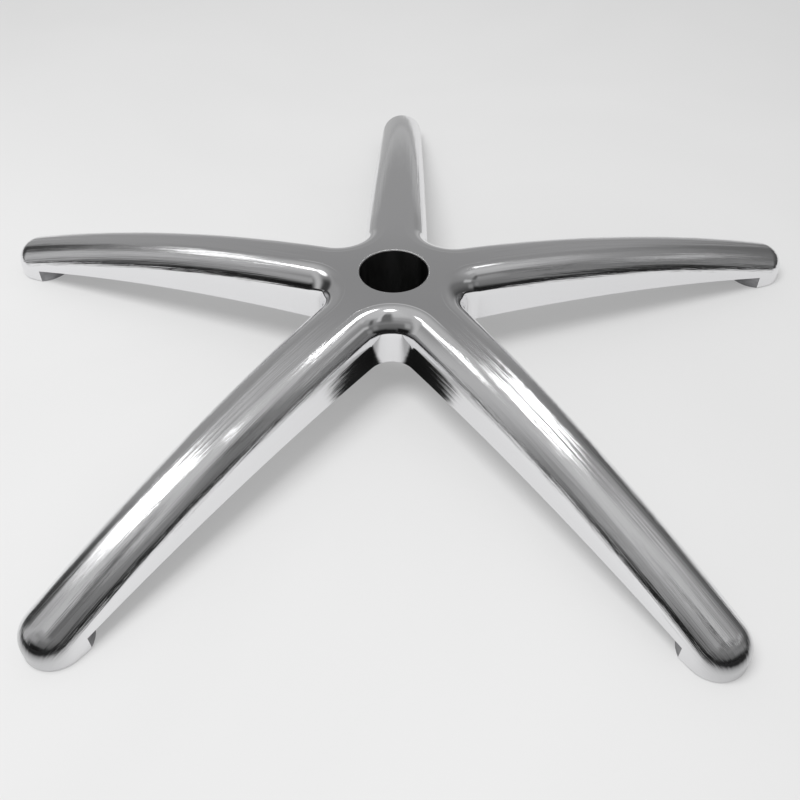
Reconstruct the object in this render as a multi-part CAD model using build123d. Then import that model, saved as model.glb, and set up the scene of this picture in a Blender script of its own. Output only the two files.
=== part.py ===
"""Five-arm swivel chair base, die cast in aluminium as one hollow piece.

The base stands on its five caster bosses, centred on the socket of the gas lift.
Up is +Z, the floor side of the bosses is Z = 0, and the back arm points along +Y.
All sizes are millimetres and degrees.
"""
import os
from math import asin, cos, pi, radians, sin, sqrt, tan

from build123d import *

# Plan of the star
ARM_COUNT = 5
BACK_ARM_ANGLE = 90.0
CASTER_RING_R = 319.5
TIP_HALF_WIDTH = 19.5
ROOT_HALF_WIDTH = 27.2
CROTCH_RADIUS = 17.5

# Side view: the crown over the hub and arms, and the lower edge of the skirts
CROWN_HUB_HEIGHT = 73.5
CROWN_TIP_HEIGHT = 27.8
SKIRT_HUB_HEIGHT = 34.5
SKIRT_TIP_HEIGHT = 9.5
SKIRT_START_R = 40.0

# Section of an arm
DOME_RADIUS = 18.0
DOME_MARGIN = 1.5
SIDE_DRAFT = 1.0
WALL = 4.0
POCKET_BEVEL = 8.0

# Hub sleeve and its tapered socket, which narrows by 1 mm in 20
SOCKET_MOUTH_R = 25.0
SOCKET_TAPER = 20.0
SOCKET_RIM_BEVEL = 1.0
SLEEVE_WALL = 6.0
SLEEVE_BOTTOM = 12.0
SLEEVE_DRAFT = 2.0

# Caster bosses and their blind stem holes
BOSS_MARGIN = 1.9
BOSS_EDGE_BEVEL = 1.0
STEM_HOLE_R = 5.5
STEM_HOLE_DEPTH = 23.0

# Stiffening ribs on the underside
WEB_THICKNESS = 4.0
CROSS_RIB_THICKNESS = 3.0
CROSS_RIB_COUNT = 4
RIB_RECESS = 3.0
GUSSET_REACH = 40.0
GUSSET_RISE = 4.0

ARM_PITCH = 360.0 / ARM_COUNT
ARM_ANGLES = [BACK_ARM_ANGLE + i * ARM_PITCH for i in range(ARM_COUNT)]
BOSS_RADIUS = TIP_HALF_WIDTH + BOSS_MARGIN
TIP_R = CASTER_RING_R + TIP_HALF_WIDTH
CLEAR = 5.0
BLANK_HEIGHT = CROWN_HUB_HEIGHT + CLEAR
STANDING = (Align.CENTER, Align.CENTER, Align.MIN)


def arc_radius(span, drop):
    """Radius of an arc that starts level and falls by drop over span."""
    return (span ** 2 + drop ** 2) / (2 * drop)


def around(shape):
    """One copy of a shape drawn along +X for each arm."""
    return [Rot(0, 0, angle) * shape for angle in ARM_ANGLES]


def standing_cone(low_r, high_r, height):
    return Cone(low_r, high_r, height, align=STANDING)


def standing_cylinder(radius, height):
    return Cylinder(radius, height, align=STANDING)


def axis_distance(shape):
    """Distance of a shape's centre from the hub axis."""
    centre = shape.center()
    return sqrt(centre.X ** 2 + centre.Y ** 2)


def arm_outline(root, tip):
    """Tapered arm along +X: straight sides tangent to a round tip."""
    lean = asin((root - tip) / CASTER_RING_R)
    root_point = Vector(root * sin(lean), root * cos(lean))
    tip_point = Vector(CASTER_RING_R + tip * sin(lean), tip * cos(lean))
    mirror_root = Vector(root_point.X, -root_point.Y)
    mirror_tip = Vector(tip_point.X, -tip_point.Y)
    with BuildSketch() as outline:
        with BuildLine():
            Line(mirror_root, mirror_tip)
            ThreePointArc(mirror_tip, (CASTER_RING_R + tip, 0), tip_point)
            Line(tip_point, root_point)
            Line(root_point, mirror_root)
        make_face()
    return outline.sketch


def sides(inset):
    """Blank of the star with drafted sides and rounded crotches, inset from its outer side."""
    root = ROOT_HALF_WIDTH - inset
    arm = extrude(arm_outline(root, TIP_HALF_WIDTH - inset), BLANK_HEIGHT, taper=SIDE_DRAFT)
    core = standing_cone(root, root - BLANK_HEIGHT * tan(radians(SIDE_DRAFT)), BLANK_HEIGHT)
    star = core + around(arm)
    tall = [e for e in star.edges() if e.bounding_box().size.Z > BLANK_HEIGHT - CLEAR]
    crotches = [e for e in tall if axis_distance(e) < TIP_R / 2]
    return fillet(crotches, CROTCH_RADIUS + inset)


def under_crown(lowering):
    """Ball whose top is the crown, lowered evenly."""
    radius = arc_radius(CASTER_RING_R, CROWN_HUB_HEIGHT - CROWN_TIP_HEIGHT)
    # The poles of the ball lie level, so its top is one plain patch
    return Pos(0, 0, CROWN_HUB_HEIGHT - radius) * Rot(90, 0, 0) * Sphere(radius - lowering)


def under_skirt(raising):
    """Solid of revolution under the lower edge of the skirts, raised evenly."""
    radius = arc_radius(CASTER_RING_R - SKIRT_START_R, SKIRT_HUB_HEIGHT - SKIRT_TIP_HEIGHT)
    centre_z = SKIRT_HUB_HEIGHT - radius
    arc_r = radius + raising
    reach = TIP_R + CLEAR
    middle = (SKIRT_START_R + reach) / 2

    def on_arc(r):
        return (r, centre_z + sqrt(arc_r ** 2 - (r - SKIRT_START_R) ** 2))

    with BuildSketch(Plane.XZ) as profile:
        with BuildLine():
            Line((0, -CLEAR), (reach, -CLEAR))
            Line((reach, -CLEAR), on_arc(reach))
            ThreePointArc(on_arc(reach), on_arc(middle), on_arc(SKIRT_START_R))
            Line(on_arc(SKIRT_START_R), (0, SKIRT_HUB_HEIGHT + raising))
            Line((0, SKIRT_HUB_HEIGHT + raising), (0, -CLEAR))
        make_face()
    # The seam of the turned face lies in the middle of a crotch
    return Rot(0, 0, BACK_ARM_ANGLE + ARM_PITCH / 2) * revolve(profile.sketch, Axis.Z)


def crown_edges(star):
    """The edges where the side walls meet the crown."""
    upper = [e for e in star.edges() if e.bounding_box().min.Z > CLEAR]
    return [e for e in upper if e.geom_type != GeomType.LINE]


def domed_star():
    """Outside of the casting: the star with a domed top."""
    star = sides(0) & under_crown(0)
    # The dome has to fit between the two sides of a tip
    return fillet(crown_edges(star), min(DOME_RADIUS, TIP_HALF_WIDTH - DOME_MARGIN))


def pocket_blank():
    """Inside of the casting before its ribs: even walls, with a bevel under the dome."""
    star = sides(WALL) & under_crown(WALL)
    return chamfer(crown_edges(star), POCKET_BEVEL)


def sleeve_blank():
    """Outside of the hub sleeve, drafted towards its lower end."""
    height = CROWN_HUB_HEIGHT - WALL / 2 - SLEEVE_BOTTOM
    high_r = SOCKET_MOUTH_R + SLEEVE_WALL
    low_r = high_r - height * tan(radians(SLEEVE_DRAFT))
    return Pos(0, 0, SLEEVE_BOTTOM) * standing_cone(low_r, high_r, height)


def socket():
    """Tapered hole through the hub, open at both ends."""
    height = CROWN_HUB_HEIGHT - SLEEVE_BOTTOM
    low_r = SOCKET_MOUTH_R - height / SOCKET_TAPER / 2
    return Pos(0, 0, SLEEVE_BOTTOM) * standing_cone(low_r, SOCKET_MOUTH_R, height)


def boss_blanks():
    """Caster bosses, from the floor side into the arm's dome."""
    return around(Pos(CASTER_RING_R, 0, 0) * standing_cylinder(BOSS_RADIUS, CROWN_HUB_HEIGHT))


def stem_holes():
    """Blind holes for the caster stems."""
    return around(Pos(CASTER_RING_R, 0, 0) * standing_cylinder(STEM_HOLE_R, STEM_HOLE_DEPTH))


def ribs():
    """A web along each arm, and cross ribs between its side walls."""
    plate = Box(CASTER_RING_R, WEB_THICKNESS, CROWN_HUB_HEIGHT)
    web = Pos(CASTER_RING_R / 2, 0, CROWN_HUB_HEIGHT / 2) * plate
    first_r = SOCKET_MOUTH_R + SLEEVE_WALL
    bay = (CASTER_RING_R - BOSS_RADIUS - first_r) / (CROSS_RIB_COUNT + 1)
    rib = Box(CROSS_RIB_THICKNESS, 2 * ROOT_HALF_WIDTH, CROWN_HUB_HEIGHT)
    stations = [first_r + (i + 1) * bay for i in range(CROSS_RIB_COUNT)]
    cross = [Pos(station, 0, CROWN_HUB_HEIGHT / 2) * rib for station in stations]
    return [part - under_skirt(RIB_RECESS) for part in around(web + cross)]


def gussets():
    """Webs that brace the lower end of the sleeve against the arms."""
    sleeve_r = SOCKET_MOUTH_R + SLEEVE_WALL
    inner_r = SOCKET_MOUTH_R + SLEEVE_WALL / 2
    foot = SLEEVE_BOTTOM + GUSSET_RISE
    top = SKIRT_HUB_HEIGHT + RIB_RECESS + CLEAR
    corners = [(inner_r, foot), (sleeve_r, foot), (sleeve_r + GUSSET_REACH, top), (inner_r, top)]
    plate = extrude(Plane.XZ * make_face(Polyline(*corners, close=True)), WEB_THICKNESS / 2, both=True)
    return around(plate)


def rim_edges(casting):
    """Upper rim of the socket."""
    upper = [e for e in casting.edges() if e.bounding_box().min.Z > CROWN_HUB_HEIGHT - WALL]
    small = [e for e in upper if e.bounding_box().size.X < 2 * SOCKET_MOUTH_R + CLEAR]
    return [e for e in small if axis_distance(e) < SOCKET_MOUTH_R]


def boss_edges(casting):
    """Lower outer edges of the caster bosses."""
    floor = [e for e in casting.edges() if e.bounding_box().max.Z < BOSS_EDGE_BEVEL / 2]
    return [e for e in floor if e.length > 2 * pi * (STEM_HOLE_R + BOSS_EDGE_BEVEL)]


def build():
    """The whole casting."""
    pocket = pocket_blank() - sleeve_blank() - boss_blanks() - ribs()
    underside = under_skirt(0) - boss_blanks()
    shell = domed_star() - pocket - underside
    casting = shell + gussets() + sleeve_blank() - socket() - stem_holes()
    casting = chamfer(rim_edges(casting), SOCKET_RIM_BEVEL)
    return chamfer(boss_edges(casting), BOSS_EDGE_BEVEL)


os.makedirs("parts", exist_ok=True)
star_base = build()
star_base.label = "star_base"
export_step(star_base, "parts/star_base.step")
print("volume", round(star_base.volume), "faces", len(star_base.faces()), "solids", len(star_base.solids()))
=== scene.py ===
"""Looks of a five-arm swivel chair base: one casting, polished outside and as cast underneath."""
from math import asin, cos, pi, radians, sin, sqrt, tan

import bpy
import numpy as np
from mathutils import Matrix, Vector

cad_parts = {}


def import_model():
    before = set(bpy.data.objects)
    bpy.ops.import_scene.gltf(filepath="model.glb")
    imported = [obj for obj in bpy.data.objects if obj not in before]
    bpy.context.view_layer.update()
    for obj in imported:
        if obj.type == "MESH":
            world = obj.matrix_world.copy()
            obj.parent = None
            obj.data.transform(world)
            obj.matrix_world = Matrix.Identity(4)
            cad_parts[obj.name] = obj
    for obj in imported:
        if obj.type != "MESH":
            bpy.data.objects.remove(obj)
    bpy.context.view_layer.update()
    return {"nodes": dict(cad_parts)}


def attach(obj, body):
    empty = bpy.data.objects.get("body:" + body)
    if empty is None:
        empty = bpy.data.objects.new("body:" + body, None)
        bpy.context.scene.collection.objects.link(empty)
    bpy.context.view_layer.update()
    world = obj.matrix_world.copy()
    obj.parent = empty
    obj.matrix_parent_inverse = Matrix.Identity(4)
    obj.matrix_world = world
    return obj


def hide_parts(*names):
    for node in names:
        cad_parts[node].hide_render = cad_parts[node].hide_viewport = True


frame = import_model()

MM = 0.001

# The casting, in millimetres
ARM_COUNT = 5
BACK_ARM_ANGLE = 90.0
RING_R = 319.5
TIP_HALF = 19.5
ROOT_HALF = 27.2
CROTCH_R = 17.5
CROWN_HUB = 73.5
CROWN_TIP = 27.8
SKIRT_HUB = 34.5
SKIRT_TIP = 9.5
SKIRT_START = 40.0
DOME_R = 18.0
DRAFT = radians(1.0)
BOSS_R = 21.4
BOSS_BEVEL = 1.0
SOCKET_R = 25.0
SOCKET_SLOPE = 1.0 / 40.0
SOCKET_BOTTOM = 12.0
RIM_BEVEL = 1.0

# How finely the polished skin is divided
CROTCH_STEPS = 14
SIDE_STEPS = 72
BOSS_STEPS = 3
TIP_STEPS = 18
WALL_STEPS = 4
DOME_STEPS = 18
CROWN_STEPS = 4
HUB_STEPS = 8
RIM_STEPS = 6
SOCKET_STEPS = 12

# An island of CAD faces looks upward when its summed area leans up by more than this share
UPWARD = 0.01

# Marks that each point of the skin carries, as Skin.grid lists them
MARKS = 4

# Least angle to divide by, and rounds in which the skirt's lower edge is found
LEAST_ANGLE = 1e-9
SKIRT_ROUNDS = 4

UP = np.array([0.0, 0.0, 1.0])


def arc_radius(span, drop):
    """Radius of an arc that starts level and falls by drop over span."""
    return (span ** 2 + drop ** 2) / (2 * drop)


CROWN_R = arc_radius(RING_R, CROWN_HUB - CROWN_TIP)
CROWN_CENTRE = np.array([0.0, 0.0, CROWN_HUB - CROWN_R])
SKIRT_R = arc_radius(RING_R - SKIRT_START, SKIRT_HUB - SKIRT_TIP)
HALF_PITCH = pi / ARM_COUNT
LEAN = asin((ROOT_HALF - TIP_HALF) / RING_R)


def unit(v):
    return v / np.linalg.norm(v, axis=-1, keepdims=True)


def turned(a, b, share):
    """Unit vectors part of the way from a to b, along the arc between them."""
    angle = np.arccos(np.clip(np.sum(a * b, axis=-1, keepdims=True), -1.0, 1.0))
    angle = np.maximum(angle, LEAST_ANGLE)
    return (a * np.sin((1 - share) * angle) + b * np.sin(share * angle)) / np.sin(angle)


def side_normal():
    """Outward normal of an arm's flat drafted side, for an arm along +X."""
    return np.array([sin(LEAN) * cos(DRAFT), cos(LEAN) * cos(DRAFT), sin(DRAFT)])


def crotch_lines():
    """Wall lines round half a crotch, from its middle to the arm's side.

    Each wall line is a foot in the plane z = 0, a direction up the wall and the wall's normal."""
    side = side_normal()
    outward = np.array([cos(HALF_PITCH), sin(HALF_PITCH), 0.0])
    reach = (ROOT_HALF * cos(DRAFT) + CROTCH_R) / (side @ outward)
    lean = sin(DRAFT) / (side @ outward)
    middle = unit(outward + lean * UP)
    share = np.linspace(0.0, 1.0, CROTCH_STEPS + 1)[:, None]
    normal = turned(middle[None], side[None], share)
    foot = outward * reach - CROTCH_R * normal
    direction = np.repeat((UP - lean * outward)[None], len(normal), axis=0)
    return foot - foot[:, 2:] * direction, direction, normal


def side_lines(start):
    """Wall lines along an arm's flat side, from the crotch to the tip."""
    side = side_normal()
    level = unit(side * [1.0, 1.0, 0.0])
    end = RING_R * np.array([1.0, 0.0, 0.0]) + TIP_HALF * level
    length = np.linalg.norm(end - start)
    boss = 1.0 - sqrt(BOSS_R ** 2 - (TIP_HALF - SKIRT_TIP * tan(DRAFT)) ** 2) / length
    before_boss = np.linspace(0.0, boss, SIDE_STEPS + 1)[1:]
    over_boss = np.linspace(boss, 1.0, BOSS_STEPS + 1)[1:]
    share = np.concatenate([before_boss, over_boss])
    foot = start + (end - start) * share[:, None]
    direction = np.repeat((UP - tan(DRAFT) * level)[None], len(foot), axis=0)
    return foot, direction, np.repeat(side[None], len(foot), axis=0)


def tip_lines():
    """Wall lines round half a tip, to the end of the arm."""
    angle = np.linspace(pi / 2 - LEAN, 0.0, TIP_STEPS + 1)[1:]
    level = np.stack([np.cos(angle), np.sin(angle), np.zeros_like(angle)], axis=1)
    foot = RING_R * np.array([1.0, 0.0, 0.0]) + TIP_HALF * level
    return foot, UP - tan(DRAFT) * level, level * cos(DRAFT) + sin(DRAFT) * UP


def wall_lines():
    """All wall lines of half an arm."""
    crotch = crotch_lines()
    sides = side_lines(crotch[0][-1])
    tip = tip_lines()
    return [np.concatenate(parts) for parts in zip(crotch, sides, tip)]


def dome_centres(foot, direction, normal):
    """Centre of the ball that rolls under the crown and inside each wall line, and its rise."""
    start = foot - DOME_R * normal - CROWN_CENTRE
    a = np.sum(direction ** 2, axis=1)
    b = np.sum(start * direction, axis=1)
    c = np.sum(start ** 2, axis=1) - (CROWN_R - DOME_R) ** 2
    rise = (-b + np.sqrt(b ** 2 - a * c)) / a
    return start + CROWN_CENTRE + rise[:, None] * direction, rise


def skirt_height(point):
    """Height of the skirts' lower edge at a point."""
    r = np.hypot(point[:, 0], point[:, 1])
    return SKIRT_HUB - SKIRT_R + np.sqrt(SKIRT_R ** 2 - (r - SKIRT_START) ** 2)


def lower_ends(foot, direction):
    """Height where each wall line meets the skirt's lower edge."""
    height = np.full(len(foot), SKIRT_HUB)
    for _ in range(SKIRT_ROUNDS):
        height = skirt_height(foot + height[:, None] * direction)
    return height


def crown_point(x, y):
    """Points on the crown over these plan places."""
    z = CROWN_CENTRE[2] + np.sqrt(CROWN_R ** 2 - x ** 2 - y ** 2)
    return np.stack([x, y, z], axis=-1)


class Skin:
    """Grids of points with exact normals, gathered into one mesh."""

    def __init__(self):
        self.points = []
        self.normals = []
        self.marks = []
        self.quads = []
        self.count = 0

    def grid(self, points, normals, marks):
        """Adds a grid. Marks are how far along and across the arm a point lies, which arm, and how
        far it is outside the shoulder where the dome begins."""
        rows, columns = points.shape[:2]
        index = self.count + np.arange(rows * columns).reshape(rows, columns)
        a, b, c, d = index[:-1, :-1], index[:-1, 1:], index[1:, 1:], index[1:, :-1]
        self.quads.append(np.stack([a, b, c, d], axis=-1).reshape(-1, 4))
        self.points.append(points.reshape(-1, 3))
        self.normals.append(normals.reshape(-1, 3))
        self.marks.append(marks.reshape(-1, MARKS))
        self.count += rows * columns

    def arrays(self):
        return [np.concatenate(a) for a in (self.points, self.normals, self.marks, self.quads)]


def marked(plan, shoulder):
    """Marks from places in the arm's flattened plan and distances from the shoulder."""
    shoulder = np.broadcast_to(shoulder, plan.shape[:-1])
    return np.concatenate([plan, np.zeros_like(plan[..., :1]), shoulder[..., None]], axis=-1)


def half_arm():
    """Half of one arm's polished skin, with its share of the hub, for an arm along +X."""
    foot, direction, normal = wall_lines()
    centre, rise = dome_centres(foot, direction, normal)
    height = lower_ends(foot, direction)
    skin = Skin()
    top = unit(centre - CROWN_CENTRE)
    edge = centre + DOME_R * top
    outward = unit(normal[:, :2])
    dome_arc = DOME_R * pi / 2

    # Drafted walls, from the lower edge up to the dome
    share = np.linspace(0.0, 1.0, WALL_STEPS + 1)[:, None]
    first_boss = CROTCH_STEPS + SIDE_STEPS
    boss_edge = np.full(len(foot), BOSS_BEVEL)
    stretches = ((height, slice(0, first_boss + 1)), (boss_edge, slice(first_boss, None)))
    for low, keep in stretches:
        level = (low + (rise - low) * share)[:, keep]
        points = foot[keep] + level[..., None] * direction[keep]
        beyond = dome_arc + rise[keep] - level
        marks = marked(edge[keep, :2] + beyond[..., None] * outward[keep], beyond)
        skin.grid(points, np.broadcast_to(normal[keep], points.shape), marks)

    # Dome, from the wall up to the crown
    share = np.linspace(0.0, 1.0, DOME_STEPS + 1)[:, None, None]
    facing = turned(normal[None], top[None], share)
    beyond = np.broadcast_to(dome_arc * (1 - share), facing.shape[:2] + (1,))
    marks = marked(edge[:, :2] + beyond * outward, beyond[..., 0])
    skin.grid(centre + DOME_R * facing, facing, marks)

    # Crown of the arm, from the dome to the middle line
    arm = edge[CROTCH_STEPS:]
    share = np.linspace(0.0, 1.0, CROWN_STEPS + 1)[:, None]
    along = np.broadcast_to(arm[:, 0], (CROWN_STEPS + 1, len(arm)))
    crown = crown_point(along, arm[:, 1] * (1 - share))
    skin.grid(crown, unit(crown - CROWN_CENTRE), marked(crown[..., :2], -arm[:, 1] * share))

    # Crown of the hub, from the crotch and the arm's root to the rim of the socket
    outer = np.concatenate([edge[:CROTCH_STEPS], crown[:, 0]])
    plan = unit(outer[:, :2])
    rim_r = rim_profile()[0][0, 0]
    share = np.linspace(0.0, 1.0, HUB_STEPS + 1)[:, None, None]
    flat = outer[:, :2] * (1 - share) + plan * rim_r * share
    hub = crown_point(flat[..., 0], flat[..., 1])
    inner = -np.linalg.norm(flat - edge[:len(plan), :2], axis=-1)
    inner[:, CROTCH_STEPS:] = -ROOT_HALF
    skin.grid(hub, unit(hub - CROWN_CENTRE), marked(flat, inner))
    return skin.arrays()


def rim_profile():
    """Bevelled rim of the socket and its wall, as (radius, height) points and normals."""
    crown_z = crown_point(np.array(SOCKET_R), np.array(0.0))[2]
    mouth_r = SOCKET_R - (CROWN_HUB - crown_z) * SOCKET_SLOPE
    outer = np.array([mouth_r + RIM_BEVEL, crown_z])
    inner = np.array([mouth_r - RIM_BEVEL * SOCKET_SLOPE, crown_z - RIM_BEVEL])
    up = np.array([0.0, 1.0])
    inward = unit(np.array([-1.0, SOCKET_SLOPE]))
    share = np.linspace(0.0, 1.0, RIM_STEPS + 1)[:, None]
    rim = outer + (inner - outer) * share
    rim_normal = turned(up[None], inward[None], share)
    bottom = np.array([SOCKET_R - (CROWN_HUB - SOCKET_BOTTOM) * SOCKET_SLOPE, SOCKET_BOTTOM])
    share = np.linspace(0.0, 1.0, SOCKET_STEPS + 1)[:, None]
    wall = inner + (bottom - inner) * share
    return rim, rim_normal, wall, np.broadcast_to(inward, wall.shape)


def revolved(profile, normals, steps=180):
    """A profile of (radius, height) turned round the hub axis, with its normals and marks."""
    angle = np.linspace(0.0, 2 * pi, steps + 1)
    ring = np.stack([np.cos(angle), np.sin(angle)], axis=-1)
    shape = (len(profile), steps + 1, 1)
    points, facing = [
        np.concatenate([pairs[:, :1, None] * ring, np.broadcast_to(pairs[:, 1:, None], shape)], axis=-1)
        for pairs in (profile, normals)
    ]
    return points, facing, marked(points[..., :2], -ROOT_HALF)


def moved(arrays, matrix, arm):
    """The same skin under a rotation or mirror about the hub axis, with its marks to match."""
    points, normals, marks, quads = arrays
    side = np.sign(np.linalg.det(matrix))
    marks = marks * [1.0, side, 0.0, 1.0] + [0.0, 0.0, arm / MM, 0.0]
    return points @ matrix.T, normals @ matrix.T, marks, quads


def arm_matrices():
    """Rotation of each arm from +X, and the same with the arm mirrored side to side."""
    found = []
    for i in range(ARM_COUNT):
        angle = radians(BACK_ARM_ANGLE) + 2 * i * HALF_PITCH
        c, s = cos(angle), sin(angle)
        turn = np.array([[c, -s, 0.0], [s, c, 0.0], [0.0, 0.0, 1.0]])
        found += [turn, turn @ np.diag([1.0, -1.0, 1.0])]
    return found


def islands(face_corners, point_count):
    """A label for each point that its whole connected island shares."""
    label = np.arange(point_count)
    while True:
        lowest = label[face_corners].min(axis=1)
        spread = label.copy()
        for k in range(face_corners.shape[1]):
            np.minimum.at(spread, face_corners[:, k], lowest)
        spread = spread[spread]
        if (spread == label).all():
            return label
        label = spread


def hidden_side():
    """The CAD faces that don't face upward: the hollow underside, the ribs and the bosses."""
    mesh = frame["nodes"]["star_base"].data
    points = np.zeros(len(mesh.vertices) * 3)
    mesh.vertices.foreach_get("co", points)
    points = points.reshape(-1, 3) / MM
    corners = np.zeros(len(mesh.loops), int)
    mesh.loops.foreach_get("vertex_index", corners)
    facing = np.zeros(len(mesh.loops) * 3)
    mesh.corner_normals.foreach_get("vector", facing)
    normals = np.zeros_like(points)
    normals[corners] = facing.reshape(-1, 3)
    faces = corners.reshape(-1, 3)
    a, b, c = points[faces.T]
    cross = np.cross(b - a, c - a)
    label = islands(faces, len(points))[faces[:, 0]]
    total = np.zeros((len(points), 3))
    np.add.at(total, label, cross)
    upward = total[:, 2] > UPWARD * np.linalg.norm(total, axis=1)
    kept = faces[~upward[label]]
    used, renumbered = np.unique(kept, return_inverse=True)
    return points[used], normals[used], renumbered.reshape(-1, 3)


def welded(points, normals, marks, quads, fineness=1e-3):
    """Joins points that lie in one place, and drops what then has no width."""
    key = np.round(points / fineness).astype(np.int64)
    _, first, group = np.unique(key, axis=0, return_index=True, return_inverse=True)
    group = group.ravel()
    total = np.zeros((len(first), 3))
    np.add.at(total, group, normals)
    faces = []
    for corners, facing in zip(group[quads], normals[quads[:, 0]]):
        ring = [int(c) for i, c in enumerate(corners) if c != corners[i - 1]]
        if len(ring) < 3:
            continue
        a, b, c = points[first[ring[:3]]]
        if np.dot(np.cross(b - a, c - a), facing) < 0:
            ring.reverse()
        faces.append(ring)
    return points[first], unit(total), marks[first], faces


def polished_skin():
    """Crown, domes and walls of the whole star."""
    half = half_arm()
    gathered = [moved(half, matrix, i // 2) for i, matrix in enumerate(arm_matrices())]
    offset, out = 0, []
    for points, normals, marks, quads in gathered:
        out.append((points, normals, marks, quads + offset))
        offset += len(points)
    return welded(*[np.concatenate(parts) for parts in zip(*out)])


def socket_rim():
    """Bevelled rim of the gas-lift socket."""
    rim, rim_normal, _, _ = rim_profile()
    skin = Skin()
    skin.grid(*revolved(rim, rim_normal))
    return welded(*skin.arrays())


def socket_wall():
    """Wall of the gas-lift socket."""
    _, _, wall, wall_normal = rim_profile()
    skin = Skin()
    skin.grid(*revolved(wall, wall_normal))
    return welded(*skin.arrays())


def joined_piece(name, parts, materials):
    """One mesh object from several sets of points, normals, marks and faces."""
    points = np.concatenate([p[0] for p in parts])
    normals = np.concatenate([p[1] for p in parts])
    marks = np.concatenate([p[2] for p in parts])
    faces, slots, offset = [], [], 0
    for slot, part in enumerate(parts):
        faces += [[c + offset for c in ring] for ring in part[3]]
        slots += [slot] * len(part[3])
        offset += len(part[0])
    mesh = bpy.data.meshes.new(name)
    mesh.from_pydata((points * MM).tolist(), [], faces)
    mesh.polygons.foreach_set("use_smooth", [True] * len(faces))
    mesh.polygons.foreach_set("material_index", slots)
    for material in materials:
        mesh.materials.append(material)
    mesh.normals_split_custom_set_from_vertices(normals)
    grain = mesh.attributes.new("grain", "FLOAT_VECTOR", "POINT")
    grain.data.foreach_set("vector", (marks[:, :3] * MM).ravel())
    shoulder = mesh.attributes.new("shoulder", "FLOAT", "POINT")
    shoulder.data.foreach_set("value", marks[:, 3] * MM)
    mesh.validate()
    piece = bpy.data.objects.new(name, mesh)
    bpy.context.scene.collection.objects.link(piece)
    return piece


# Looks and surroundings

# The photograph's view, with its sensor and lens in millimetres
CAMERA_SENSOR = 36.0
CAMERA_LENS = 39.2
CAMERA_PLACE = (0.0165, -0.5103, 0.45375)
CAMERA_PAN = radians(-1.41)
CAMERA_TILT = radians(-45.17)
CAMERA_ROLL = radians(-0.34)

DISPLAY_GAMMA = 2.2

# Where along an arm, in metres, the streaks begin and the crotch shoulders' crisp line ends
STREAKS_FROM = 0.05
STREAKS_FULL = 0.11
SHOULDER_FULL = 0.062
SHOULDER_TO = 0.085

# The crisp line: where it rises across the shoulder and how high, in metres
SHOULDER_RISE = (-0.0002, 0.0011)
SHOULDER_STEP = 0.00016

# Noise scales, per metre. Those of streaks and swell run along and across an arm
STREAK_SCALE = (11.0, 430.0, 1.0)
SWELL_SCALE = (13.0, 75.0, 1.0)
HAZE_SCALE = 38.0
NICK_SCALE = 160.0
RING_SCALE = (20.0, 20.0, 900.0)
STAIN_AND_SHADE_SCALE = (60.0, 60.0, 14.0)
GRIT_SCALE = 900.0
FLOW_SCALE = (30.0, 30.0, 60.0)
CLOUD_SCALE = 2.2

# Roughness: what the noise adds, and the least there is
STREAK_ROUGHNESS = (0.08, 0.045)
HAZE_ROUGHNESS = 0.05
RIM_ROUGHNESS = (0.3, 0.3)
SOCKET_ROUGHNESS = (0.2, 0.38)
CAST_ROUGHNESS = (0.2, 0.36)

# Bumps: strength and height in metres
SWELL_BUMP = (0.6, 0.0007)
STREAK_BUMP = (0.9, 0.0003)
RING_BUMP = (0.3, 0.0002)
GRIT_BUMP = (0.25, 0.0002)

# Colours, and ramps of (place in the noise, colour)
POLISH_COLOUR = (0.86, 0.86, 0.87, 1.0)
RIM_COLOUR = (0.95, 0.95, 0.95, 1.0)
# Socket wall: painted shade, a colour far darker than bare metal for the shaded inside of the bore,
# mottled with stains
SOCKET_SHADE_RAMP = ((0.35, (0.05, 0.05, 0.05, 1.0)), (0.75, (0.30, 0.30, 0.30, 1.0)))
# Cast underside: its own mottled grey, darkened as painted shade for the shaded bosses and underside
CAST_TONE_AND_SHADE_RAMP = ((0.3, (0.15, 0.15, 0.155, 1.0)), (0.7, (0.36, 0.36, 0.37, 1.0)))


def grey(level):
    """Linear brightness that shows as this grey, from 0 to 255."""
    return (level / 255.0) ** DISPLAY_GAMMA


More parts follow.
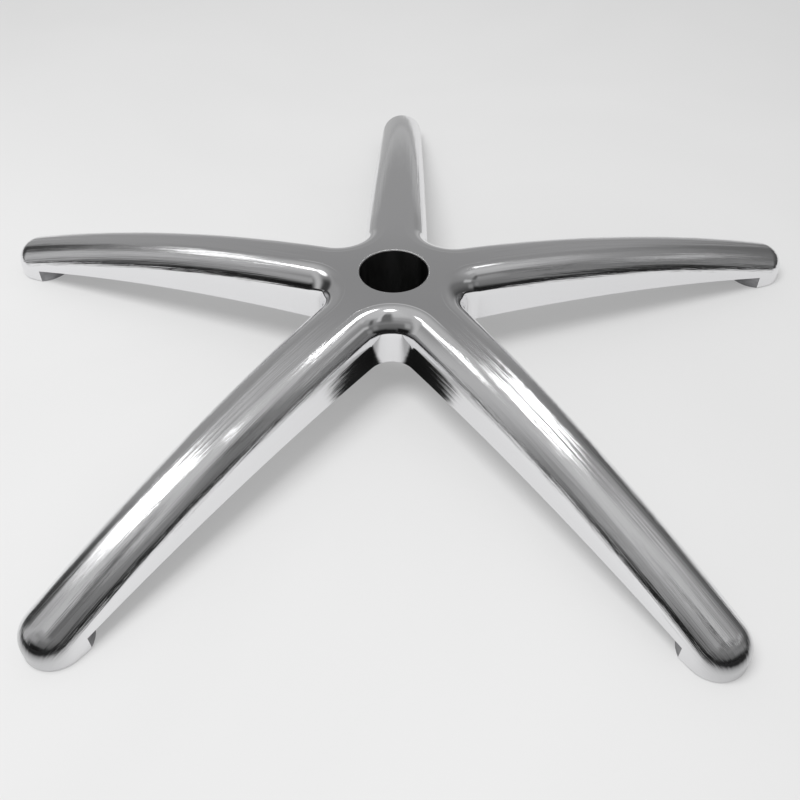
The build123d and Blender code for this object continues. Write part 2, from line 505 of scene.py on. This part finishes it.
class Nodes:
    """Short ways to add nodes to a tree."""

    def __init__(self, tree):
        self.tree = tree
        self.new = tree.nodes.new
        self.link = tree.links.new

    def feed(self, socket, value):
        if isinstance(value, bpy.types.NodeSocket):
            self.link(value, socket)
        else:
            socket.default_value = value

    def math(self, operation, *values):
        node = self.new("ShaderNodeMath")
        node.operation = operation
        for socket, value in zip(node.inputs, values):
            self.feed(socket, value)
        return node.outputs[0]

    def smooth(self, value, start, end):
        """0 before start and 1 after end, with a smooth rise."""
        node = self.new("ShaderNodeMapRange")
        node.interpolation_type = "SMOOTHSTEP"
        self.feed(node.inputs["Value"], value)
        node.inputs["From Min"].default_value = start
        node.inputs["From Max"].default_value = end
        return node.outputs["Result"]

    def falling(self, value, start, end):
        """1 before start and 0 after end, with a smooth fall."""
        return self.math("SUBTRACT", 1.0, self.smooth(value, start, end))

    def band(self, value, low, high, soft):
        """1 between low and high, with soft edges."""
        rise = self.smooth(value, low - soft, low + soft)
        fall = self.smooth(value, high - soft, high + soft)
        return self.math("SUBTRACT", rise, fall)

    def mix(self, share, first, second):
        node = self.new("ShaderNodeMix")
        self.feed(node.inputs["Factor"], share)
        self.feed(node.inputs["A"], first)
        self.feed(node.inputs["B"], second)
        return node.outputs["Result"]

    def noise(self, vector, scale, detail=3.0, roughness=0.55, distortion=0.0):
        """Noise at one scale, or at a scale of its own on each axis."""
        if isinstance(scale, tuple):
            vector, scale = self.scaled(vector, scale), 1.0
        node = self.new("ShaderNodeTexNoise")
        self.feed(node.inputs["Vector"], vector)
        node.inputs["Scale"].default_value = scale
        node.inputs["Detail"].default_value = detail
        node.inputs["Roughness"].default_value = roughness
        node.inputs["Distortion"].default_value = distortion
        return node.outputs["Fac"]

    def scaled(self, vector, factors):
        node = self.new("ShaderNodeVectorMath")
        node.operation = "MULTIPLY"
        self.feed(node.inputs[0], vector)
        node.inputs[1].default_value = factors
        return node.outputs[0]

    def distance(self, vector, place):
        node = self.new("ShaderNodeVectorMath")
        node.operation = "DISTANCE"
        self.link(vector, node.inputs[0])
        node.inputs[1].default_value = place
        return node.outputs["Value"]

    def bump(self, height, strength, distance, normal=None):
        node = self.new("ShaderNodeBump")
        self.feed(node.inputs["Height"], height)
        node.inputs["Strength"].default_value = strength
        node.inputs["Distance"].default_value = distance
        if normal is not None:
            self.link(normal, node.inputs["Normal"])
        return node.outputs["Normal"]

    def ramp(self, share, stops):
        node = self.new("ShaderNodeValToRGB")
        for element, (place, colour) in zip(node.color_ramp.elements, stops):
            element.color = colour
            element.position = place
        self.link(share, node.inputs["Fac"])
        return node.outputs["Color"]

    def stored(self, name, output):
        """A value stored on the mesh."""
        node = self.new("ShaderNodeAttribute")
        node.attribute_name = name
        return node.outputs[output]

    def axes(self, vector):
        """X, Y and Z of a vector."""
        node = self.new("ShaderNodeSeparateXYZ")
        self.link(vector, node.inputs[0])
        return node.outputs

    def coordinates(self, kind="Object"):
        return self.new("ShaderNodeTexCoord").outputs[kind]


def fresh_material(name):
    material = bpy.data.materials.new(name)
    material.use_nodes = True
    return Nodes(material.node_tree), material, material.node_tree.nodes["Principled BSDF"]


def make_metal(nodes, shader, colour, roughness, normal=None):
    """Sets a shader to bare metal with this colour, roughness and relief."""
    nodes.feed(shader.inputs["Base Color"], colour)
    shader.inputs["Metallic"].default_value = 1.0
    nodes.link(roughness, shader.inputs["Roughness"])
    if normal is not None:
        nodes.link(normal, shader.inputs["Normal"])


def polished_metal():
    """Mirror-polished aluminium: streaks along the arms, a little haze and crisp crotch shoulders."""
    nodes, material, shader = fresh_material("polished_aluminium")
    grain = nodes.stored("grain", "Vector")
    outside_shoulder = nodes.stored("shoulder", "Fac")
    along = nodes.axes(grain)["X"]
    on_arm = nodes.smooth(along, STREAKS_FROM, STREAKS_FULL)
    in_crotch = nodes.falling(along, SHOULDER_FULL, SHOULDER_TO)
    fine = nodes.noise(grain, STREAK_SCALE, detail=4.0, roughness=0.6)
    streaks = nodes.math("MULTIPLY", fine, on_arm)
    swell = nodes.math("MULTIPLY", nodes.noise(grain, SWELL_SCALE, detail=2.0), on_arm)
    haze = nodes.noise(nodes.coordinates(), HAZE_SCALE, detail=5.0, roughness=0.65)
    rough = nodes.math("MULTIPLY_ADD", streaks, *STREAK_ROUGHNESS)
    rough = nodes.math("MULTIPLY_ADD", haze, HAZE_ROUGHNESS, rough)
    step = nodes.math("MULTIPLY", nodes.smooth(outside_shoulder, *SHOULDER_RISE), in_crotch)
    normal = nodes.bump(swell, *SWELL_BUMP)
    normal = nodes.bump(streaks, *STREAK_BUMP, normal)
    normal = nodes.bump(nodes.math("SUBTRACT", 1.0, step), 1.0, SHOULDER_STEP, normal)
    make_metal(nodes, shader, POLISH_COLOUR, rough, normal)
    return material


def rim_metal():
    """Bare cut metal of the socket's rim, duller and brighter than the polish round it."""
    nodes, material, shader = fresh_material("socket_rim")
    nicks = nodes.noise(nodes.coordinates(), NICK_SCALE)
    make_metal(nodes, shader, RIM_COLOUR, nodes.math("MULTIPLY_ADD", nicks, *RIM_ROUGHNESS))
    return material


def socket_metal():
    """Turned wall of the socket, its colour darkened as painted shade for the inside of the bore,
    mottled with stains.
    """
    nodes, material, shader = fresh_material("socket_wall")
    place = nodes.coordinates()
    rings = nodes.noise(place, RING_SCALE)
    stains_and_shade = nodes.noise(place, STAIN_AND_SHADE_SCALE)
    rough = nodes.math("MULTIPLY_ADD", rings, *SOCKET_ROUGHNESS)
    make_metal(nodes, shader, nodes.ramp(stains_and_shade, SOCKET_SHADE_RAMP), rough, nodes.bump(rings, *RING_BUMP))
    return material


def cast_metal():
    """Rough skin of the casting underneath, as it comes from the die. Its colour is the metal's own
    mottled grey, darkened as painted shade for the shaded bosses and underside.
    """
    nodes, material, shader = fresh_material("cast_aluminium")
    place = nodes.coordinates()
    grit = nodes.noise(place, GRIT_SCALE, detail=4.0, roughness=0.7)
    flow = nodes.noise(place, FLOW_SCALE, detail=4.0, distortion=1.2)
    rough = nodes.math("MULTIPLY_ADD", flow, *CAST_ROUGHNESS)
    make_metal(nodes, shader, nodes.ramp(flow, CAST_TONE_AND_SHADE_RAMP), rough, nodes.bump(grit, *GRIT_BUMP))
    return material


def finished_casting():
    """The casting as it is seen, in place of its plain node."""
    under_points, under_normals, under_faces = hidden_side()
    under = (under_points, under_normals, marked(under_points[:, :2], 0.0), under_faces.tolist())
    parts = [polished_skin(), socket_rim(), socket_wall(), under]
    materials = [polished_metal(), rim_metal(), socket_metal(), cast_metal()]
    piece = joined_piece("star_base_finish", parts, materials)
    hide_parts("star_base")
    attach(piece, "root")


def camera():
    """The photograph's view."""
    data = bpy.data.cameras.new("camera")
    data.sensor_width = CAMERA_SENSOR
    data.lens = CAMERA_LENS
    seen = bpy.data.objects.new("camera", data)
    bpy.context.scene.collection.objects.link(seen)
    flat = cos(CAMERA_TILT)
    forward = Vector((sin(CAMERA_PAN) * flat, cos(CAMERA_PAN) * flat, sin(CAMERA_TILT)))
    level = Vector((cos(CAMERA_PAN), -sin(CAMERA_PAN), 0.0))
    upright = level.cross(forward)
    right = cos(CAMERA_ROLL) * level + sin(CAMERA_ROLL) * upright
    up = cos(CAMERA_ROLL) * upright - sin(CAMERA_ROLL) * level
    matrix = Matrix((right, up, -forward)).transposed().to_4x4()
    matrix.translation = CAMERA_PLACE
    seen.matrix_world = matrix
    bpy.context.scene.camera = seen


# Studio as the metal mirrors it: middle azimuth (0 is behind the object, 90 its right), half
# width, lowest and highest elevation, softness of the edges, all in degrees, and the grey it shows
STUDIO = {
    "back_wall": (-10, 42, -30, 38, 12, 150),
    "back_low": (0, 30, -30, 6, 9, 182),
    "left_window": (-97, 12, -10, 58, 11, 182),
    "left_gap": (-66, 12, -10, 32, 9, 62),
    "left_strip": (-48, 4, -10, 56, 5, 150),
    "left_front_low": (-126, 10, 22, 42, 6, 158),
    "upper_left_box": (-55, 46, 50, 80, 12, 185),
    "right_streak": (91, 13, 31, 39, 5, 188),
    "right_box": (66, 14, 55, 65, 4, 190),
    "right_low": (104, 9, 8, 24, 6, 132),
    "right_front_low": (127, 8, 17, 34, 6, 130),
    "front_right_dark": (140, 25, -30, 11, 6, 34),
    "front_left_dark": (-140, 19, -30, 15, 4, 30),
    "front_dark": (180, 18, -30, 8, 6, 32),
    "front_high_dark": (162, 22, 40, 80, 10, 104),
    "rear_streak": (138, 7, 48, 82, 5, 195),
    "right_gap": (112, 7, 40, 58, 6, 92),
}

# Grey of the rest of the mirrored room, from this elevation in degrees up
ZENITH_STEPS = ((-12, 50), (0, 72), (28, 108), (42, 136), (56, 158), (70, 190), (90, 200))

# Linear strength of the room's even light, and of the pale room that the camera sees
ROOM_LIGHT = 0.50
PALE_ROOM = 0.82


def world():
    """Even room light, a pale room for the camera, and the studio that shows in the metal."""
    made = bpy.data.worlds.new("studio")
    bpy.context.scene.world = made
    made.use_nodes = True
    nodes = Nodes(made.node_tree)
    direction = nodes.axes(nodes.coordinates("Generated"))
    azimuth = nodes.math("DEGREES", nodes.math("ARCTAN2", direction["X"], direction["Y"]))
    elevation = nodes.math("DEGREES", nodes.math("ARCSINE", direction["Z"]))
    level = grey(ZENITH_STEPS[0][1])
    for (low, _), (high, shade) in zip(ZENITH_STEPS, ZENITH_STEPS[1:]):
        level = nodes.mix(nodes.smooth(elevation, low, high), level, grey(shade))
    for middle, half, low, high, soft, shade in STUDIO.values():
        turn = nodes.math("WRAP", nodes.math("SUBTRACT", azimuth, middle), 180.0, -180.0)
        across = nodes.falling(nodes.math("ABSOLUTE", turn), half - soft, half + soft)
        mask = nodes.math("MULTIPLY", across, nodes.band(elevation, low, high, soft))
        level = nodes.mix(mask, level, grey(shade))
    path = nodes.new("ShaderNodeLightPath")
    shown = nodes.mix(path.outputs["Is Camera Ray"], ROOM_LIGHT, PALE_ROOM)
    shown = nodes.mix(path.outputs["Is Glossy Ray"], shown, level)
    background = made.node_tree.nodes["Background"]
    background.inputs["Color"].default_value = (1.0, 1.0, 1.0, 1.0)
    nodes.link(shown, background.inputs["Strength"])


# The floor, in metres. Its colour is shared between paint and a glow of its own
FLOOR_SIZE = 6.0
FLOOR_PAINT = 0.52
FLOOR_GLOW = 0.37
FLOOR_TINT = (0.10, 0.80)
FLOOR_ROUGHNESS = 0.9
FLOOR_SHINE = 0.1

# What the metal mirrors of it: a round lit sheet, a shade under the hub, and little beyond them
SHEET_PLACE = (0.0, 0.15, 0.0)
SHEET_REACH = (0.44, 0.53)
HUB_SHADE_PLACE = (0.0, -0.030, 0.0)
HUB_SHADE_REACH = (0.054, 0.064)
FLOOR_DIM = 0.015

# And a grey backdrop behind the object, which starts nearer on the left of the back arm
BACKDROP_SIDE = (-0.012, 0.012)
BACKDROP_NEAR = (0.330, 0.360)
BACKDROP_FAR = (0.40, 0.50)
BACKDROP_SHADE = 0.58


def mirrored_floor(nodes, place):
    """How much of its brightness the floor shows in the metal."""
    beyond_sheet = nodes.smooth(nodes.distance(place, SHEET_PLACE), *SHEET_REACH)
    beyond_hub = nodes.smooth(nodes.distance(place, HUB_SHADE_PLACE), *HUB_SHADE_REACH)
    lit = nodes.math("SUBTRACT", beyond_hub, beyond_sheet)
    lit = nodes.math("MULTIPLY_ADD", lit, 1.0 - FLOOR_DIM, FLOOR_DIM)
    axes = nodes.axes(place)
    on_left = nodes.falling(axes["X"], *BACKDROP_SIDE)
    near = nodes.math("MULTIPLY", nodes.smooth(axes["Y"], *BACKDROP_NEAR), on_left)
    far = nodes.math("MULTIPLY", nodes.smooth(axes["Y"], *BACKDROP_FAR), beyond_sheet)
    return nodes.mix(nodes.math("MAXIMUM", near, far), lit, BACKDROP_SHADE)


def floor():
    """Pale floor, slightly clouded."""
    nodes, material, shader = fresh_material("pale_floor")
    place = nodes.coordinates()
    cloud = nodes.noise(place, CLOUD_SCALE, distortion=0.6)
    tint = nodes.math("MULTIPLY_ADD", cloud, *FLOOR_TINT)
    path = nodes.new("ShaderNodeLightPath")
    shown = nodes.mix(path.outputs["Is Glossy Ray"], 1.0, mirrored_floor(nodes, place))
    shade = nodes.math("MULTIPLY", tint, shown)
    for amount, name in ((FLOOR_PAINT, "Base Color"), (FLOOR_GLOW, "Emission Color")):
        colour = nodes.new("ShaderNodeCombineColor")
        for socket in colour.inputs[:3]:
            nodes.link(nodes.math("MULTIPLY", shade, amount), socket)
        nodes.link(colour.outputs[0], shader.inputs[name])
    shader.inputs["Emission Strength"].default_value = 1.0
    shader.inputs["Roughness"].default_value = FLOOR_ROUGHNESS
    shader.inputs["Specular IOR Level"].default_value = FLOOR_SHINE
    mesh = bpy.data.meshes.new("floor")
    half = FLOOR_SIZE / 2
    corners = [(-half, -half, 0), (half, -half, 0), (half, half, 0), (-half, half, 0)]
    mesh.from_pydata(corners, [], [(0, 1, 2, 3)])
    mesh.materials.append(material)
    made = bpy.data.objects.new("floor", mesh)
    bpy.context.scene.collection.objects.link(made)


# Lamps: name, place, what they look at, width, power and spread in degrees. The key lamp lights
# the scene and shows nowhere in the metal; the others show only in the metal
KEY_LAMP = ("key", (-0.36, -0.34, 1.50), (0, 0, 0), 0.9, 18.5, 180)
MIRRORED_LAMPS = (
    ("front_left_spot", (-0.365, -0.045, 0.585), (-0.135, -0.190, 0.052), 0.38, 0.021, 18),
    ("front_right_spot", (0.208, 0.120, 0.600), (0.120, -0.130, 0.061), 0.36, 0.022, 18),
    ("front_crotch_glow", (-0.280, 0.091, 0.526), (0.055, -0.085, 0.068), 0.80, 0.030, 18),
    ("hub_glow", (0.0, 0.050, 0.700), (0.0, -0.010, 0.073), 0.30, 0.0040, 10),
)


def lamp(name, place, aim, size, power, spread, mirrored):
    """A round area lamp that looks from one point at another."""
    data = bpy.data.lights.new(name, "AREA")
    data.shape = "DISK"
    data.size = size
    data.energy = power
    data.spread = radians(spread)
    made = bpy.data.objects.new(name, data)
    made.location = place
    made.rotation_euler = (Vector(aim) - Vector(place)).to_track_quat("-Z", "Y").to_euler()
    made.visible_camera = False
    made.visible_glossy = mirrored
    made.visible_diffuse = not mirrored
    bpy.context.scene.collection.objects.link(made)


def lights():
    lamp(*KEY_LAMP, False)
    for values in MIRRORED_LAMPS:
        lamp(*values, True)


finished_casting()
camera()
world()
floor()
lights()
bpy.context.scene.view_settings.view_transform = "Standard"
